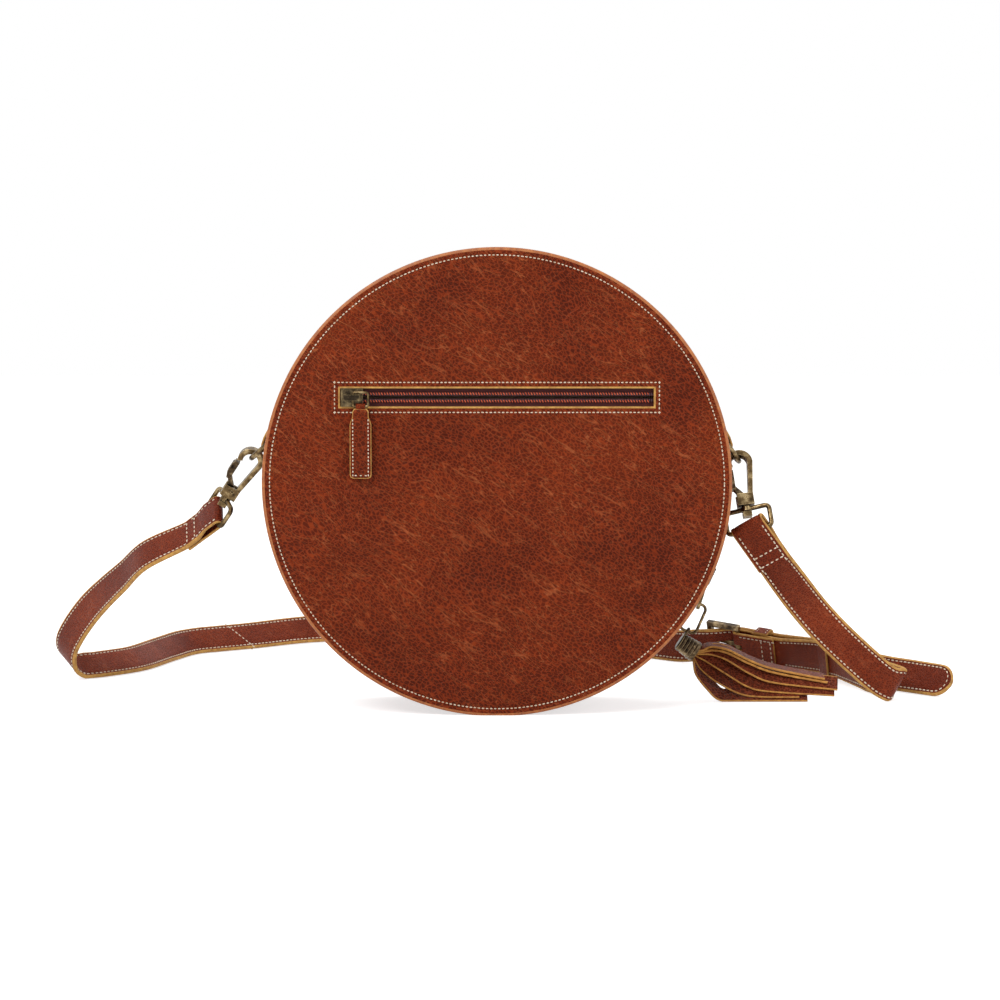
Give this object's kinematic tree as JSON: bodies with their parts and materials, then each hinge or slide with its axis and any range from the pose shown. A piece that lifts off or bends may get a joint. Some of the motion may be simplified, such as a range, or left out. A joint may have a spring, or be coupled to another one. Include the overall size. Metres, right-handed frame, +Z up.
{
  "type": "round crossbody bag",
  "caption": "Round leather bag with a zipped opening round its rim, a zipped back pocket and a buckled strap clipped to a D-ring at each side.",
  "frame": {"origin": "under the middle of the back panel's rim, where the bag stands on the surface", "axes": "+Z up; the back with the zipped pocket faces -Y and the front faces +Y; +X is the side with the tassel"},
  "size_m": [0.4734, 0.2951, 0.2298],
  "materials": {
    "leather": "glossy pebbled cognac leather, tan raw edges",
    "strap_leather": "smooth dark red-brown leather, mustard raw edges, cream stitching",
    "tassel_leather": "embossed red-brown leather, mustard raw edges",
    "lining": "plain woven tan-brown lining",
    "zip_tape": "woven maroon zip tape",
    "coil": "orange-red coil with a dark middle",
    "zip_metal": "antique brass, worn bright on edges",
    "antique_brass": "antique brass with dark recesses",
    "dark_brass": "dark antique brass",
    "spring_steel": "bare spring steel"
  },
  "bodies": {
    "bag": {"back_panel": "leather", "base_gusset": "leather", "back_gusset": "leather", "front_base": "leather", "front_base_strips": "leather", "lining": "lining", "zip_tape_back": "zip_tape", "zip_teeth_back": "zip_metal", "zip_ends_tape": "zip_tape", "zip_ends_teeth": "zip_metal", "zip_stops": "zip_metal", "pocket_tape": "zip_tape", "pocket_coil": "coil", "pocket_bag": "lining", "tab_left": "strap_leather", "tab_right": "strap_leather"},
    "front": {"front_panel": "leather", "front_gusset": "leather", "zip_tape_front": "zip_tape", "zip_teeth_front": "zip_metal", "front_lining": "lining"},
    "main_slider": {"main_slider": "zip_metal"},
    "main_puller": {"main_puller": "antique_brass"},
    "tassel_link": {"tassel_link": "antique_brass"},
    "tassel": {"tassel_cap": "antique_brass", "tassel_strips": "tassel_leather"},
    "pocket_slider": {"pocket_slider": "zip_metal"},
    "pocket_bail": {"pocket_bail": "antique_brass"},
    "pocket_pull": {"pocket_pull": "strap_leather"},
    "ring_left": {"ring_left": "antique_brass"},
    "ring_right": {"ring_right": "antique_brass"},
    "strap": {"strap_long": "strap_leather", "strap_short": "strap_leather", "strap_ring_left": "antique_brass", "strap_ring_right": "antique_brass", "keeper_fixed": "strap_leather"},
    "hook_left": {"hook_left": "antique_brass", "gate_pin_left": "antique_brass", "gate_spring_left": "spring_steel"},
    "gate_left": {"gate_left": "dark_brass"},
    "hook_right": {"hook_right": "antique_brass", "gate_pin_right": "antique_brass", "gate_spring_right": "spring_steel"},
    "gate_right": {"gate_right": "dark_brass"},
    "keeper_free": {"keeper_free": "strap_leather"},
    "buckle_frame": {"buckle_frame": "dark_brass"},
    "buckle_prong": {"buckle_prong": "antique_brass"}
  },
  "joints": [
    {"name": "front_opening", "type": "hinge", "parent": "bag", "child": "front", "pos_m": [0, 0.06275, 0.08], "axis": [-1, 0, 0], "range_deg": [0, 75]},
    {"name": "main_zip_travel", "type": "hinge", "parent": "bag", "child": "main_slider", "pos_m": [0, 0.04925, 0.1145], "axis": [0, -1, 0], "range_deg": [0, 186]},
    {"name": "main_puller_swing", "type": "hinge", "parent": "main_slider", "child": "main_puller", "pos_m": [0.10705, 0.04925, 0.06201], "axis": [0, -1, 0], "range_deg": [0, 45]},
    {"name": "tassel_link_swing", "type": "hinge", "parent": "main_puller", "child": "tassel_link", "pos_m": [0.10319, 0.04925, 0.04939], "axis": [0, -1, 0], "range_deg": [0, 15]},
    {"name": "tassel_swing", "type": "hinge", "parent": "tassel_link", "child": "tassel", "pos_m": [0.09707, 0.04925, 0.03526], "axis": [0, -1, 0], "range_deg": [0, 25]},
    {"name": "pocket_zip_travel", "type": "slide", "parent": "bag", "child": "pocket_slider", "axis": [1, 0, 0], "range_m": [0, 0.14]},
    {"name": "pocket_bail_swing", "type": "hinge", "parent": "pocket_slider", "child": "pocket_bail", "pos_m": [-0.07005, -0.0042, 0.1556], "axis": [0, 0, -1], "range_deg": [0, 60]},
    {"name": "pocket_pull_swing", "type": "hinge", "parent": "pocket_bail", "child": "pocket_pull", "pos_m": [-0.06635, -0.0042, 0.15215], "axis": [-1, 0, 0], "range_deg": [0, 90]},
    {"name": "ring_left_swing", "type": "hinge", "parent": "bag", "child": "ring_left", "pos_m": [-0.11447, 0.02775, 0.132], "axis": [0, 1, 0], "range_deg": [-1, 3]},
    {"name": "ring_right_swing", "type": "hinge", "parent": "bag", "child": "ring_right", "pos_m": [0.11447, 0.02775, 0.132], "axis": [0, -1, 0], "range_deg": [-3, 1]},
    {"name": "strap_lift", "type": "hinge", "parent": "bag", "child": "strap", "pos_m": [0, 0.02775, 0.132], "axis": [1, 0, 0], "range_deg": [0, 13]},
    {"name": "hook_left_turn", "type": "hinge", "parent": "strap", "child": "hook_left", "pos_m": [-0.13569, 0.03515, 0.1056], "axis": [0.5481, -0.2, 0.8121], "range_deg": [-5, 0]},
    {"name": "gate_left_press", "type": "hinge", "parent": "hook_left", "child": "gate_left", "pos_m": [-0.13308, 0.03442, 0.10858], "axis": [0, 0.971, 0.2392], "range_deg": [0, 25], "stiffness_Nm_per_rad": 0.02},
    {"name": "hook_right_turn", "type": "hinge", "parent": "strap", "child": "hook_right", "pos_m": [0.12321, 0.01376, 0.10211], "axis": [-0.1198, 0.3995, 0.9089], "range_deg": [-5, 5]},
    {"name": "gate_right_press", "type": "hinge", "parent": "hook_right", "child": "gate_right", "pos_m": [0.12322, 0.01538, 0.1058], "axis": [0, 0.9155, -0.4024], "range_deg": [0, 25], "stiffness_Nm_per_rad": 0.02},
    {"name": "keeper_free_slide", "type": "slide", "parent": "strap", "child": "keeper_free", "axis": [-0.3552, 0.9348, 0], "range_m": [-0.004, 0.002]},
    {"name": "buckle_frame_swing", "type": "hinge", "parent": "strap", "child": "buckle_frame", "pos_m": [0.13547, 0.16576, 0.01208], "axis": [0.1506, 0.3515, -0.924], "range_deg": [0, 12]},
    {"name": "buckle_prong_swing", "type": "hinge", "parent": "buckle_frame", "child": "buckle_prong", "pos_m": [0.13547, 0.16576, 0.01208], "axis": [0.1506, 0.3515, -0.924], "range_deg": [0, 20]}
  ],
  "couplings": [
    {"joint": "ring_left_swing", "follows": "strap_lift", "ratio": 0.2}
  ]
}
